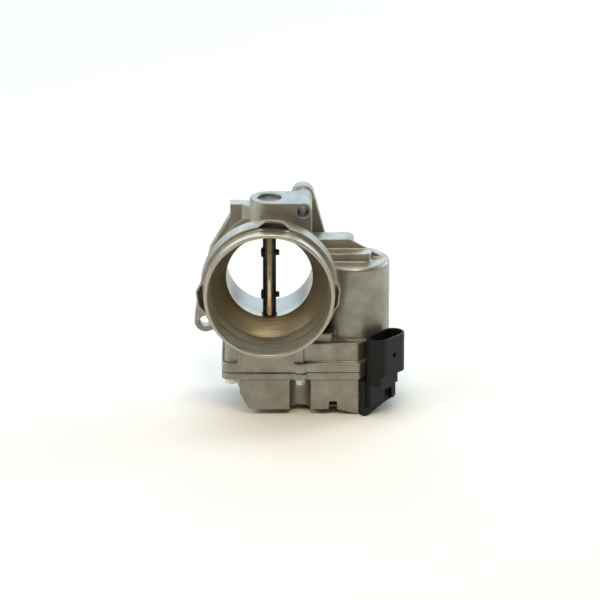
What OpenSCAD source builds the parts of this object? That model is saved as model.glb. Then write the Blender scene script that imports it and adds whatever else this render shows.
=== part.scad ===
// Electronic throttle body with a vertical shaft, a DC motor beside the bore and a gear case below.
// The origin is where the bore axis meets the manifold face. +Y points into the manifold, the air
// comes from -Y, +Z is up along the throttle shaft. Distances "ahead" are measured from the
// manifold face towards the inlet.

/* [Bore and inlet] */
// Diameter of the throat that the plate closes
bore_d = 50; // [48:0.5:60]
// Wall of the throat tube
throat_wall = 6; // [5:0.5:8]
// Inside diameter of the inlet socket
socket_d = 71.2; // [70:0.2:86]
// Outside diameter of the inlet lip
lip_d = 75.6; // [75:0.2:90]
// Length from the throttle shaft to the inlet lip
inlet_len = 41; // [40:0.5:55]
// Length of the straight inlet socket
socket_len = 14.5; // [12:0.5:16]
// Length of the plain lip in front of the clip groove
lip_len = 8.8; // [7:0.2:10]
// How far the collar stands out from the lip
ring_height = 1.95; // [1.5:0.05:3]
// Length of the collar along the bore
ring_len = 12.4; // [10:0.1:15]
// How far each clip bulge stands out from the collar
bulge_height = 2.6; // [2:0.1:3.2]
// Width of a clip bulge where it leaves the collar
bulge_base = 20.5; // [16:0.5:25]
// Width of a clip bulge's flat top
bulge_flat = 9.4; // [6:0.2:12]
// Length of a clip bulge along the bore
bulge_len = 6; // [4:0.5:8]

/* [Throttle] */
// Diameter of the throttle shaft
shaft_d = 7.8; // [7:0.1:9.4]
// Thickness of the throttle plate
plate_t = 2.3; // [1.5:0.1:3]
// Gap between the plate's edge and the throat
plate_gap = 0.3; // [0.2:0.05:0.5]
// Distance of each plate screw from the bore axis
plate_screw_z = 12.9; // [10:0.1:16]
// Head diameter of the plate screws
plate_screw_head_d = 5.7; // [5:0.1:6.5]
// Thread diameter of the plate screws
plate_screw_d = 3.5; // [3:0.1:4]
// Turn of the shaft from open to closed, in degrees
closing_turn = 85; // [60:1:85]

/* [Bearing block] */
// Height of the bearing block above the throat
block_height = 21.7; // [21:0.1:30]
// Depth of the bearing block along the bore
block_depth = 22.6; // [20:0.2:26]
// Reach of the block to the bolt's side of the shaft
block_reach = 24.7; // [24:0.1:32]
// Bore for the shaft's bearings and plug
bearing_d = 14; // [13:0.1:16]
// How deep the plug sits below the block's top
plug_depth = 1.8; // [1:0.1:2.5]
// Thickness of the plug
plug_t = 2.2; // [1.5:0.1:3]
// Length of each shaft bearing
bearing_len = 10; // [8:0.5:11]

/* [Manifold flange] */
// Thickness of the manifold flange
flange_t = 8; // [6:0.5:10]
// Clearance hole for the manifold bolts
bolt_hole_d = 6.8; // [6.4:0.1:8.4]
// Radius of the ears round the bolt holes
ear_r = 6.5; // [6:0.1:8]
// Tapped hole at the flange's lower right, core diameter
tap_d = 5; // [4:0.1:5.5]
// Depth of the tapped hole
tap_depth = 6; // [5:0.5:6.5]
// Inside diameter of the seal's groove
seal_groove_d = 55; // [54:0.5:64]
// Width of the seal
seal_w = 2.6; // [2:0.1:3]

/* [Motor] */
// Outside diameter of the motor
motor_d = 35.8; // [30:0.2:43]
// Length of the motor's can
motor_len = 52; // [50:0.5:54]
// Wall of the motor barrel
barrel_wall = 2.4; // [2:0.1:4]
// Gap between the motor and its barrel
motor_gap = 0.3; // [0.2:0.05:0.6]
// Height of the barrel's top above the bore axis
barrel_top = 9.8; // [8:0.2:12]
// Metal between the throat and the motor barrel
barrel_web = 3.4; // [3:0.1:6]

/* [Gear case] */
// Height of the upper half of the gear case
case_height = 20.3; // [20:0.1:26]
// Height of the cover below the joint
cover_height = 22.7; // [22:0.1:28]
// Wall of the case and of the cover
case_wall = 2.5; // [2:0.1:3]
// Thickness of the gasket
gasket_t = 0.4; // [0.3:0.1:1]
// Reach of the case beyond the shaft, on the side away from the motor
case_left = 27.6; // [27:0.1:36]
// Gap between the motor barrel and the case's diagonal side
diagonal_gap = 0.33; // [0.3:0.01:1]
// Diameter of the cover screws
cover_screw_d = 5; // [4:0.5:6]
// Sideways place of the front middle cover screw, from the shaft
front_screw_x = 17.8; // [14:0.1:18.5]
// Radius of the screwdriver channel in the cover
channel_r = 6.25; // [5.5:0.05:6.5]
// Wall round the screwdriver channel
channel_wall = 1.5; // [1:0.1:2]

/* [Gears] */
// Teeth of the sector gear, as a full circle
sector_teeth = 39; // [36:1:41]
// Teeth of the idler's small gear
idler_small_teeth = 13; // [12:1:15]
// Teeth of the idler's big gear
idler_big_teeth = 35; // [32:1:36]
// Teeth of the motor's pinion
pinion_teeth = 11; // [10:1:13]
// Play between meshing teeth, as a share of the module
backlash = 0.2; // [0.15:0.01:0.25]
// Clear space round the gears
gear_room = 1; // [0.6:0.1:2]
// Diameter of the idler's pin
idler_pin_d = 4; // [3:0.1:5]

/* [Return spring] */
// Wire of the return spring
spring_wire = 1.5; // [1:0.1:1.6]
// Coils of the return spring
spring_coils = 6; // [4:1:7]

/* [Plug socket] */
// Length of the plug socket's mouth
plug_len = 26; // [24:0.5:28]
// Width of the plug socket's mouth
plug_w = 13.5; // [12:0.5:14]
// Wall of the plug socket
plug_wall = 1.3; // [1:0.1:2]
// Depth of the plug socket
plug_socket_depth = 16; // [12:1:20]
// Number of contact pins
pin_count = 5; // [3:1:6]
// Spacing of the contact pins
pin_pitch = 3.8; // [3:0.1:4]

/* [Clearances] */
// Radial gap of a running fit
running_gap = 0.03; // [0.02:0.01:0.08]
// Gap between pieces that are pressed or glued together
press_gap = 0.01; // [0:0.01:0.05]
// Gap between pieces that are only placed side by side
loose_gap = 0.3; // [0.2:0.05:0.5]

/* [Hidden] */
$fn = 64;

// Colours
cast_metal = [0.66, 0.67, 0.64];
steel = [0.6, 0.6, 0.6];
black_plastic = [0.08, 0.08, 0.09];

// The gear train: shaft, idler and motor stand on one line. The motor stands clear of the throat,
// and far enough out for its end cap to clear the idler's pin.
bore_r = bore_d / 2;
motor_r = motor_d / 2;
barrel_r = motor_r + motor_gap + barrel_wall;
end_cap_r = motor_r + 1.2;
pin_wall = 1.8;
half_teeth = (sector_teeth + idler_small_teeth + idler_big_teeth + pinion_teeth) / 2;
motor_share = (idler_big_teeth + pinion_teeth) / 2 / half_teeth;
motor_x = max(bore_r + barrel_web + barrel_r, (end_cap_r + idler_pin_d / 2 + pin_wall) / motor_share);
gear_module = motor_x / half_teeth;
idler_x = gear_module * (sector_teeth + idler_small_teeth) / 2;
addendum = 0.8;
dedendum = 1.05;
pressure_angle = 25;
sector_tip_r = gear_module * (sector_teeth / 2 + addendum);
big_tip_r = gear_module * (idler_big_teeth / 2 + addendum);
sector_margin = 8;

// The bore and what lies along it
shaft_r = shaft_d / 2;
back_gap = 1;
shaft_ahead = max(bore_r, sector_tip_r + gear_room + case_wall + back_gap);
shaft_y = -shaft_ahead;
inlet_ahead = shaft_ahead + inlet_len;
socket_r = socket_d / 2;
lip_r = lip_d / 2;
socket_end = inlet_ahead - socket_len;
cone_start = socket_end - 9.5;
cone_end = shaft_ahead + 6.3;
taper_r = socket_r - 0.6;
taper_end_r = socket_r - 1.6;
throat_r = bore_r + throat_wall;
ring_r = lip_r + ring_height;
groove_front = inlet_ahead - lip_len;
groove_w = 1.4;
ring_front = groove_front - groove_w;
ring_back = ring_front - ring_len;
// right, top and left bulge: where they stand, and their height as a share of the bulge height
clip_angles = [-6, 86, 187];
clip_shares = [0.45, 1.35, 0.95];
clip_wall = 1.3;

// Heights
block_top = bore_r + block_height;
plug_top_z = block_top - plug_depth;
case_top = -(bore_r + throat_wall + 3);
joint_z = -(bore_r + throat_wall + case_height);
cover_top = joint_z - gasket_t;
rim_t = 4;
cover_floor = cover_top - cover_height;
corner_drop = 3.1;
corner_rise = 1.2;
flange_rim_t = 6;
cavity_top = joint_z + 13.3;

// The gears' heights
hub_r = 8;
sector_z = joint_z - 9;
sector_t = 5.5;
hub_top = joint_z - 2.6;
big_z = sector_z - 5.5;
big_t = 4;
hub_bottom = sector_z - sector_t / 2 - 0.4;
magnet_t = 2.6;
magnet_r = shaft_d / 2 + 0.6;
idler_bottom = big_z - big_t / 2;

// The case's outline
screw_r = cover_screw_d / 2;
screw_edge = 2.7;
channel_ahead = sqrt(pow(big_tip_r + channel_r + channel_wall + 0.5, 2) - pow(idler_x - front_screw_x, 2));
case_front = shaft_y - channel_ahead - screw_edge;
case_back = shaft_y + sector_tip_r + gear_room + case_wall;
case_right = motor_x + barrel_r + 1;
diagonal = 48;
case_corner = motor_x
    + (barrel_r + diagonal_gap - (shaft_y - case_front) * cos(diagonal)) / sin(diagonal);
diagonal_rise = (case_right - case_corner) * tan(diagonal);
body_inset = 0.8;
cover_left_top = case_left - 7.1;
cover_left_bottom = case_left - 15.9;
boss_r = 4.75;
screw_hole_top = joint_z + flange_rim_t - 0.5;
screw_points = [[-case_left + 5.2, case_front + screw_edge + 2], [front_screw_x, case_front + screw_edge],
    [-case_left + 5.2, case_back - 5], [case_right + 2, case_back - 12]];

// Slot for the lead carrier's latch: its left side, width and height above the cover's floor
latch_slot = [34.6, 4.6, 4.9];

// The sensor's board and chip, a small air gap below the magnet
board_t = 1.2;
chip_t = 1;
board_z = hub_bottom - magnet_t - 1.2 - chip_t - board_t;

// Stops of the throttle
stop_ring_r = 13.6;
post_r = 2;
lug_w = 5;
lug_r = 15.6;
lug_angle = 190;
stop_gap = 0.15;
stop_spread = asin((post_r + lug_w / 2 + stop_gap) / stop_ring_r);
lug_t = 2.8;

// The return spring and its boss
shaft_boss_r = 9;
spring_r = shaft_boss_r + spring_wire / 2 + 0.45;
spring_top = cavity_top - 1.4;
spring_bottom = hub_top + spring_wire / 2 + 0.5;
lower_bearing_d = 13;
lower_bearing_z = joint_z + 3;
seal_len = 4;

// The manifold bolts
upper_bolt = [block_reach - 5.3, block_top - 5.3];
lower_bolt = [-bore_r - 12.5, -bore_r - 11.1];
tap_point = [bore_r + 11, -bore_r - 3];

// The motor
motor_top = barrel_top - barrel_wall - 0.3;
motor_bottom = motor_top - motor_len;
can_t = 1.2;
end_cap_t = 4;
motor_shaft_r = 1.6;
motor_bearing_r = 4;
core_r = motor_r - 5;
core_len = 28;
core_top = motor_top - 10;
comm_r = 4.5;
comm_top = core_top - core_len - 7;
comm_len = 7;
pinion_top = big_z + 4;
pinion_len = 8.5;
motor_screw_turn = 49;
motor_screw_reach = barrel_r;
motor_ear_r = 3.2;

// The plug socket
plug_top = case_top + 4;
plug_bottom = plug_top - 23;
neck_bottom = plug_bottom - 5.3;
neck_len = plug_len - 10.8;
plug_x = (case_corner + case_right) / 2 + 6;
plug_y = case_front + (plug_x - case_corner) * tan(diagonal) - (plug_w / 2 + loose_gap) / cos(diagonal);
pin_t = 0.6;
pin_w = 1.5;
tongue_w = 12;
tongue_h = 8;
tongue_z = cover_top - 9.5;

// Points of a fillet of the third value's radius at a corner
function unit(v) = v / norm(v);
function fillet(before, corner, after, steps = 5) =
    let (a = unit([before.x - corner.x, before.y - corner.y]),
        b = unit([after.x - corner.x, after.y - corner.y]),
        half = acos(max(-1, min(1, a * b))) / 2,
        r = corner[2],
        middle = [corner.x, corner.y] + unit(a + b) * r / sin(half),
        first = [corner.x, corner.y] + a * r / tan(half) - middle,
        last = [corner.x, corner.y] + b * r / tan(half) - middle,
        start = atan2(first.y, first.x),
        turn = (atan2(last.y, last.x) - start + 540) % 360 - 180)
    [for (i = [0:steps]) middle + r * [cos(start + turn * i / steps), sin(start + turn * i / steps)]];
function rounded(points) = let (n = len(points)) [for (i = [0:n - 1])
    each points[i][2] > 0
        ? fillet(points[(i + n - 1) % n], points[i], points[(i + 1) % n])
        : [[points[i].x, points[i].y]]];

// An outline of the case, moved inwards by an inset
function case_outline(inset) = rounded([
    [-case_left + inset, case_front + inset, 4],
    [case_corner - inset * tan(diagonal / 2), case_front + inset, 3],
    [case_right - inset, case_front + diagonal_rise + inset * tan(45 - diagonal / 2), 3],
    [case_right - inset, case_back - inset, 8 - inset],
    [-case_left + inset, case_back - inset, 4]]);

// One involute flank point at a radius, as an angle from the tooth's middle
function involute(base_r, r) = r <= base_r ? 0 : tan(acos(base_r / r)) * 180 / PI - acos(base_r / r);
function tooth_half(teeth, r) =
    let (base_r = gear_module * teeth / 2 * cos(pressure_angle))
    (90 - backlash * 90 / PI) / teeth + involute(base_r, gear_module * teeth / 2) - involute(base_r, r);
function tooth(teeth, middle) =
    let (pitch_r = gear_module * teeth / 2,
        root_r = pitch_r - dedendum * gear_module,
        tip_r = pitch_r + addendum * gear_module,
        low_r = max(root_r, pitch_r * cos(pressure_angle)),
        radii = [root_r, low_r, (low_r + pitch_r) / 2, pitch_r, (pitch_r + tip_r) / 2, tip_r])
    concat([for (r = radii) [r, middle - tooth_half(teeth, r)]],
        [for (i = [5:-1:0]) [radii[i], middle + tooth_half(teeth, radii[i])]]);
function gear_points(teeth, first, count) = [for (k = [0:count - 1])
    each [for (p = tooth(teeth, first + k * 360 / teeth)) p[0] * [cos(p[1]), sin(p[1])]]];

// A flat shape in X and Z, carried along Y between two distances ahead of the manifold face
module along_bore(from, to) {
    translate([0, -from, 0]) rotate([90, 0, 0]) linear_extrude(to - from) children();
}

// A shape turned round the bore axis from its radii and distances ahead
module turned(profile) {
    rotate([90, 0, 0]) rotate_extrude($fn = 128) polygon(profile);
}

// A round bar along the bore
module bore_bar(point, r, from, to) {
    translate([point.x, -from, point.y]) rotate([90, 0, 0]) cylinder(r = r, h = to - from);
}

// An upright bar between two heights
module upright(r, bottom, top) {
    translate([0, 0, bottom]) cylinder(r = r, h = top - bottom);
}

module upright_tube(outer, inner, bottom, top) {
    difference() {
        upright(outer, bottom, top);
        upright(inner, bottom - 1, top + 1);
    }
}

module at_shaft() {
    translate([0, shaft_y, 0]) children();
}

module at_motor() {
    translate([motor_x, shaft_y, 0]) children();
}

module at_idler() {
    translate([idler_x, shaft_y, 0]) children();
}

module at_plug() {
    translate([plug_x, plug_y, 0]) rotate([0, 0, diagonal]) children();
}

module case_slab(inset, bottom, top) {
    translate([0, 0, bottom]) linear_extrude(top - bottom) polygon(case_outline(inset));
}

// Outside of the bore: lip, clip groove, collar, cone and throat
module bore_tube() {
    neck_r = lip_r - 0.4;
    edge = 0.5;
    turned([[bore_r - 1, 0], [throat_r, 0], [throat_r, cone_end + edge], [neck_r, ring_back],
        [ring_r - edge, ring_back], [ring_r, ring_back + edge], [ring_r, ring_front - edge / 2],
        [ring_r - edge / 2, ring_front], [neck_r, ring_front], [neck_r, groove_front],
        [lip_r, groove_front], [lip_r, inlet_ahead - edge / 2], [lip_r - edge / 2, inlet_ahead],
        [bore_r - 1, inlet_ahead]]);
}

// Air passage: straight socket, slight taper, cone and throat
module bore_passage() {
    turned([[0, -1], [bore_r, -1], [bore_r, cone_end], [taper_end_r, cone_start], [taper_r, socket_end],
        [socket_r, socket_end], [socket_r, inlet_ahead - 0.3], [socket_r + 0.3, inlet_ahead],
        [socket_r + 0.3, inlet_ahead + 1], [0, inlet_ahead + 1]]);
}

// Wedge of a clip bulge, seen along the bore
module bulge_shape(share, inset) {
    high = ring_r + bulge_height * share - inset;
    low = lip_r - 0.3;
    base = bulge_base / 2 - inset / 2;
    flat_top = bulge_flat / 2 - inset / 3;
    polygon(rounded([[-base, low, 0], [base, low, 0], [flat_top, high, 1], [-flat_top, high, 1]]));
}

// Three bulges that lean back into the collar, each with its pocket open to the inlet
module clip_bulges() {
    high = ring_r + bulge_height * max(clip_shares) + 0.3;
    for (i = [0:len(clip_angles) - 1]) intersection() {
        along_bore(ring_front - bulge_len, ring_front)
            rotate(clip_angles[i] - 90) bulge_shape(clip_shares[i], 0);
        turned([[0, ring_front - bulge_len], [ring_r, ring_front - bulge_len], [high, ring_front],
            [0, ring_front]]);
    }
}

module clip_pockets() {
    for (i = [0:len(clip_angles) - 1]) difference() {
        intersection() {
            along_bore(ring_front - bulge_len + 1, ring_front + groove_w / 2)
                rotate(clip_angles[i] - 90) bulge_shape(clip_shares[i], clip_wall);
            turned([[0, ring_front - bulge_len], [ring_r - clip_wall, ring_front - bulge_len],
                [ring_r + bulge_height, ring_front + 1], [0, ring_front + 1]]);
        }
        turned([[0, 0], [lip_r - 0.4, 0], [lip_r - 0.4, inlet_ahead], [0, inlet_ahead]]);
    }
}

// Block that holds the upper bearing, and its upper bolt's boss
module bearing_block() {
    half = block_depth / 2;
    intersection() {
        translate([0, shaft_y, 0]) linear_extrude(block_top) union() {
            circle(r = half, $fn = 96);
            translate([0, -half]) square([block_reach, block_depth]);
        }
        along_bore(0, inlet_ahead) polygon(rounded([[-half, 8, 0], [block_reach, 8, 0],
            [block_reach, block_top, 4.8], [-half, block_top, 0]]));
    }
    bore_bar(upper_bolt, 5.3, 0, shaft_ahead);
    // gusset between the block and the flange's upper left corner
    translate([0, 0, bore_r]) linear_extrude(11.5) polygon([[-bore_r + 2, 0], [-bore_r + 2, -flange_t],
        [-16, -flange_t], [-9, shaft_y + half - 1], [0, shaft_y], [0, 0]]);
}

// Flange against the manifold, with its ears
module manifold_flange() {
    slope = 14;
    along_bore(0, flange_t) polygon(rounded([
        [upper_bolt.x + ear_r * cos(slope), upper_bolt.y + ear_r * sin(slope), 0],
        [bore_r + 6.9, bore_r - 5.5, 4], [tap_point.x + 8, tap_point.y + 8, 3],
        [tap_point.x + 3, tap_point.y - 8, 5], [0, -throat_r - 3, 0],
        [lower_bolt.x, lower_bolt.y - ear_r, 0], [lower_bolt.x - ear_r, lower_bolt.y + 2, 0],
        [-bore_r - 17.7, -bore_r + 0.3, 3], [-bore_r - 9.6, bore_r - 16.3, 8], [-bore_r + 2, bore_r + 4, 0],
        [-bore_r + 2, bore_r + 11.5, 0.8], [0, bore_r + 11.5, 0],
        [upper_bolt.x - ear_r, upper_bolt.y, 0]]));
    for (point = [upper_bolt, lower_bolt]) bore_bar(point, ear_r, 0, flange_t);
}

// Barrel round the motor, with its rounded cap and the walls that brace it
module motor_barrel() {
    edge = 2.2;
    cap_points = [for (a = [0:15:90]) [barrel_r - edge + edge * cos(a), barrel_top - edge + edge * sin(a)]];
    at_motor() rotate_extrude($fn = 128)
        polygon(concat([[0, motor_bottom], [barrel_r, motor_bottom]], cap_points, [[0, barrel_top]]));
    // pad on the cap, and the wall behind it with its sloping rib
    root = bore_r - 5;
    pad_right = motor_x + 10;
    pad_depth = 8.7;
    wall_depth = 12.8;
    wall_top = barrel_top + 11;
    rib_t = 2.6;
    rib_right = motor_x + 17;
    translate([0, shaft_y - pad_depth, 0]) linear_extrude(barrel_top + 5)
        polygon(rounded([[root, 0, 0], [pad_right, 0, 4], [pad_right, pad_depth, 0], [root, pad_depth, 0]]));
    along_bore(shaft_ahead - wall_depth, shaft_ahead) polygon(rounded([[root, 0, 0], [motor_x, 0, 0],
        [motor_x, wall_top, 3], [root, wall_top, 0]]));
    along_bore(shaft_ahead - rib_t, shaft_ahead) polygon([[motor_x - 4, 0], [rib_right, 0],
        [rib_right, barrel_top], [motor_x - 1, wall_top - 1], [motor_x - 4, wall_top]]);
}

// Upper half of the gear case, outside
module gear_case() {
    case_slab(2, joint_z, case_top);
    case_slab(0, joint_z, joint_z + flange_rim_t);
    for (p = screw_points) translate([p.x, p.y, 0]) upright(boss_r, joint_z, joint_z + flange_rim_t);
    // web that carries the inlet collar, between two upright ribs
    web_left = -17.4;
    web_right = 19.2;
    web_top = -bore_r - 7;
    rib_t = 1.5;
    translate([web_left, case_front, joint_z]) cube([web_right - web_left, 17, web_top - joint_z]);
    for (x = [web_left - 0.6, web_right - 0.9])
        translate([x, case_front - 0.6, joint_z + flange_rim_t])
            cube([rib_t, 12, web_top - joint_z - flange_rim_t]);
    // low pad beside the collar
    pad = [17.7, 10];
    translate([bore_r - 5, case_front + 5, case_top - 1]) linear_extrude(6)
        polygon(rounded([[0, 0, 0], [pad.x, 0, 4], [pad.x, pad.y, 4], [0, pad.y, 0]]));
}

// Space inside the upper half, from the joint up
module case_cavity() {
    difference() {
        case_slab(2 + case_wall, joint_z - 1, cavity_top);
        at_shaft() upright(shaft_boss_r, joint_z - 2, cavity_top + 1);
        at_idler() upright(5, joint_z - 2, cavity_top + 1);
        at_motor() upright(barrel_r, motor_bottom, cavity_top + 1);
        for (turn = [motor_screw_turn, motor_screw_turn + 180]) at_motor() rotate(turn)
            translate([motor_screw_reach, 0, 0]) upright(motor_ear_r, motor_bottom + 0.1, cavity_top + 1);
        for (p = screw_points) translate([p.x, p.y, 0]) upright(boss_r, joint_z - 2, cavity_top + 1);
    }
}

module stop_posts() {
    for (turn = [lug_angle - stop_spread, lug_angle + closing_turn + stop_spread])
        at_shaft() rotate(turn) translate([stop_ring_r, 0, 0])
            upright(post_r, hub_top - lug_t, cavity_top + 1);
}

module main_housing() {
    color(cast_metal) difference() {
        union() {
            difference() {
                union() {
                    bore_tube();
                    clip_bulges();
                    bearing_block();
                    manifold_flange();
                    motor_barrel();
                    gear_case();
                    at_shaft() upright(shaft_boss_r + 2, joint_z + 8, -bore_r);
                }
                case_cavity();
            }
            at_idler() upright(5, joint_z - 3, cavity_top + 1);
            stop_posts();
        }
        bore_passage();
        clip_pockets();
        // shaft, its bearings, its seal and its plug
        at_shaft() upright(shaft_r + 0.4, joint_z - 5, block_top + 1);
        at_shaft() upright(bearing_d / 2, plug_top_z - plug_t - bearing_len - 0.6, block_top + 1);
        at_shaft() upright(lower_bearing_d / 2, joint_z - 1, lower_bearing_z + bearing_len + seal_len + 0.4);
        // motor
        at_motor() upright(barrel_r - barrel_wall, joint_z - 1, motor_top + 0.3);
        at_motor() upright(end_cap_r + 0.2, joint_z - 1, motor_bottom + 0.2);
        for (turn = [motor_screw_turn, motor_screw_turn + 180]) at_motor() rotate(turn)
            translate([motor_screw_reach, 0, 0]) upright(1.5, motor_bottom - 8, motor_bottom + 7);
        // idler pin
        at_idler() upright(idler_pin_d / 2, joint_z - 4, joint_z + 7);
        // cover screws
        for (p = screw_points) translate([p.x, p.y, 0]) upright(screw_r, joint_z - 1, screw_hole_top);
        // manifold bolts, tapped hole and seal groove
        bore_bar(upper_bolt, bolt_hole_d / 2, -1, shaft_ahead + block_depth);
        bore_bar(lower_bolt, bolt_hole_d / 2, -1, flange_t + 3);
        bore_bar(tap_point, tap_d / 2, -1, tap_depth);
        turned([[seal_groove_d / 2, -1], [seal_groove_d / 2 + seal_w, -1],
            [seal_groove_d / 2 + seal_w, 2.2], [seal_groove_d / 2, 2.2]]);
    }
}

// Side view of the cover's body: sloped end, flat floor and a corner that dips below it
module cover_side(inset) {
    top = cover_top - rim_t;
    along_bore(-1, -case_front + 10) polygon(rounded([
        [-cover_left_top + inset, cover_top + 1, 0], [-cover_left_top + inset, top - 3, 3],
        [-cover_left_bottom + inset, cover_floor + inset, 2.5],
        [case_corner - 12.5, cover_floor + inset, 0],
        [case_corner, cover_floor - corner_drop + inset, 0],
        [case_corner + 2, cover_floor - corner_drop + inset, 0],
        [case_right - 4.6, cover_floor + corner_rise + inset, 0],
        [case_right + 1, cover_floor + corner_rise + inset, 0], [case_right + 1, cover_top + 1, 0]]));
}

// Clear ways for the cover screws and their driver, and the walls round them
module screw_channels(r, bottom, top) {
    for (p = screw_points) translate([p.x, p.y, 0]) upright(r, bottom, top);
}

module gear_cover() {
    color(cast_metal) difference() {
        union() {
            case_slab(0, cover_top - rim_t, cover_top);
            for (p = screw_points) translate([p.x, p.y, 0]) upright(boss_r, cover_top - rim_t, cover_top);
            intersection() {
                case_slab(body_inset, cover_floor - 5, cover_top - 1);
                cover_side(0);
            }
        }
        difference() {
            union() {
                intersection() {
                    case_slab(body_inset + case_wall, cover_floor - 5, cover_top + 1);
                    cover_side(case_wall);
                }
                case_slab(2 + case_wall, cover_top - rim_t + 1.8, cover_top + 1);
            }
            screw_channels(channel_r + channel_wall, cover_floor - 6, cover_top - rim_t + 1.8);
            screw_channels(boss_r, cover_floor - 6, cover_top + 2);
            at_idler() upright(4.2, cover_floor, idler_bottom - loose_gap);
            for (side = [-7, 7]) at_shaft() translate([-1.5, side, 0]) upright(1.5, cover_floor, board_z);
        }
        screw_channels(channel_r, cover_floor - 6, cover_top - rim_t);
        screw_channels(screw_r + 0.3, cover_floor - 6, cover_top + 1);
        at_idler() upright(idler_pin_d / 2 + press_gap, cover_floor + case_wall - 1, cover_floor + 9);
        // slot in the front wall, and the window for the plug socket's carrier
        translate([latch_slot.x, case_front, cover_floor - 1]) cube([latch_slot.y, 6, latch_slot.z + 1]);
        at_plug() translate([-tongue_w / 2 - 0.2, 0, tongue_z - 0.2])
            cube([tongue_w + 0.4, 24, tongue_h + 0.4]);
    }
}

module cover_gasket() {
    color([0.15, 0.15, 0.15]) difference() {
        union() {
            case_slab(0.6, cover_top, joint_z);
            for (p = screw_points) translate([p.x, p.y, 0]) upright(boss_r - 0.4, cover_top, joint_z);
        }
        difference() {
            case_slab(2 + case_wall, cover_top - 1, joint_z + 1);
            for (p = screw_points) translate([p.x, p.y, 0])
                upright(boss_r - 0.4, cover_top - 2, joint_z + 2);
        }
        for (p = screw_points) translate([p.x, p.y, 0]) upright(screw_r + 0.3, cover_top - 1, joint_z + 1);
    }
}

// Hexagon flange screws with a socket, driven from below
module cover_screws() {
    head_t = 3.3;
    head_z = cover_top - rim_t;
    color([0.72, 0.76, 0.68]) for (p = screw_points) translate([p.x, p.y, 0]) difference() {
        union() {
            upright(screw_r - press_gap, head_z, screw_hole_top - 0.5);
            upright(screw_r + 1.3, head_z - 1, head_z);
            upright(screw_r + 0.9, head_z - head_t, head_z - 1);
        }
        translate([0, 0, head_z - head_t - 1]) cylinder(r = 1.7, h = 3, $fn = 6);
    }
}

// Rounded outline of the plug socket
module plug_outline(inset) {
    r = plug_w / 2 - inset;
    reach = plug_len / 2 - plug_w / 2;
    for (side = [-1, 1]) translate([side * reach, 0]) circle(r = r, $fn = 48);
    translate([-reach, -r]) square([2 * reach, 2 * r]);
}

// A shape in length and height, carried across the plug socket between two distances from its axis
module across_plug(from, to) {
    at_plug() translate([0, to, 0]) rotate([90, 0, 0]) linear_extrude(to - from) children();
}

module connector_shell() {
    // distance from the plug's axis to the cover's diagonal side
    reach = plug_w / 2 + loose_gap;
    left = -plug_len / 2 - 1.6;
    right = plug_len / 2 - 1.1;
    plate_t = 4;
    foot_t = 2.6;
    latch = [2.4, 2.8];
    latch_down = 12.6;
    color(black_plastic) difference() {
        union() {
            at_plug() translate([0, 0, plug_bottom]) linear_extrude(plug_top - plug_bottom) plug_outline(0);
            at_plug() translate([-plug_len / 2 + 1, -plug_w / 2, neck_bottom])
                cube([neck_len, plug_w / 2 + reach - plate_t + 1, plug_bottom - neck_bottom + 1]);
            // plate against the cover's diagonal side
            across_plug(reach - plate_t, reach) polygon([[left, cover_floor - corner_drop],
                [left + 3, cover_floor - corner_drop], [right - 8, cover_floor + corner_rise],
                [right - 2.4, cover_floor + corner_rise + 0.6], [right, cover_floor + corner_rise + 3],
                [right, cover_top - rim_t - 0.3], [left, cover_top - rim_t - 0.3]]);
            // foot in front of the plate, with a notch from below
            across_plug(reach - plate_t - foot_t, reach - plate_t + 1) polygon([
                [left + 1.6, cover_floor + 1.4], [left + 13.8, cover_floor + 3.5],
                [left + 13.8, cover_floor + 10.2], [right - 5.9, cover_floor + 10.2],
                [right - 5.9, cover_floor + 3.2], [right - 3.6, cover_floor + 3.2],
                [right - 2.3, cover_floor + 4.5], [right - 2.3, neck_bottom + 1],
                [left + 1.6, neck_bottom + 1]]);
            at_plug() translate([-tongue_w / 2, 1, tongue_z]) cube([tongue_w, reach + 4, tongue_h]);
        }
        at_plug() translate([0, 0, plug_top - plug_socket_depth])
            linear_extrude(plug_socket_depth + 1) plug_outline(plug_wall);
        // latch window
        at_plug() translate([-latch.x / 2, -plug_w / 2 - 1, plug_top - latch_down])
            cube([latch.x, plug_wall + 1.5, latch.y]);
        contact_pins(press_gap);
    }
}

// Flat pins that stand in the socket and turn inwards through the carrier
module contact_pins(gap) {
    for (i = [0:pin_count - 1]) at_plug() translate([(i - (pin_count - 1) / 2) * pin_pitch, 0, 0]) {
        translate([-pin_w / 2 - gap, -pin_t / 2 - gap, tongue_z + tongue_h / 2 - gap])
            cube([pin_w + 2 * gap, pin_t + 2 * gap, plug_top - 7 - tongue_z - tongue_h / 2 + 2 * gap]);
        if (abs(i - (pin_count - 1) / 2) * pin_pitch + pin_w < tongue_w / 2)
            translate([-pin_w / 2 - gap, -pin_t / 2 - gap, tongue_z + tongue_h / 2 - gap])
                cube([pin_w + 2 * gap, plug_w / 2 + 9, pin_t + 2 * gap]);
    }
}

module connector_pins() {
    color([0.8, 0.72, 0.45]) contact_pins(0);
}

// Moulded strip that carries the leads along the cover's floor, with its latch in the front slot
module lead_carrier() {
    floor_z = cover_floor + case_wall + 0.1;
    strip = [18, 5, 1.4];
    latch = [latch_slot.y - 2 * loose_gap, 6, 2.2];
    color(black_plastic) {
        translate([latch_slot.x + loose_gap, case_front + body_inset + 0.6, floor_z]) cube(latch);
        translate([latch_slot.x - 4.6, case_front + body_inset + case_wall + loose_gap, floor_z])
            cube(strip);
    }
}

module shaft_plug() {
    color(steel) at_shaft() difference() {
        upright(bearing_d / 2 - press_gap, plug_top_z - plug_t, plug_top_z);
        upright(bearing_d / 2 - 1.6, plug_top_z - 0.5, plug_top_z + 1);
    }
}

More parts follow.
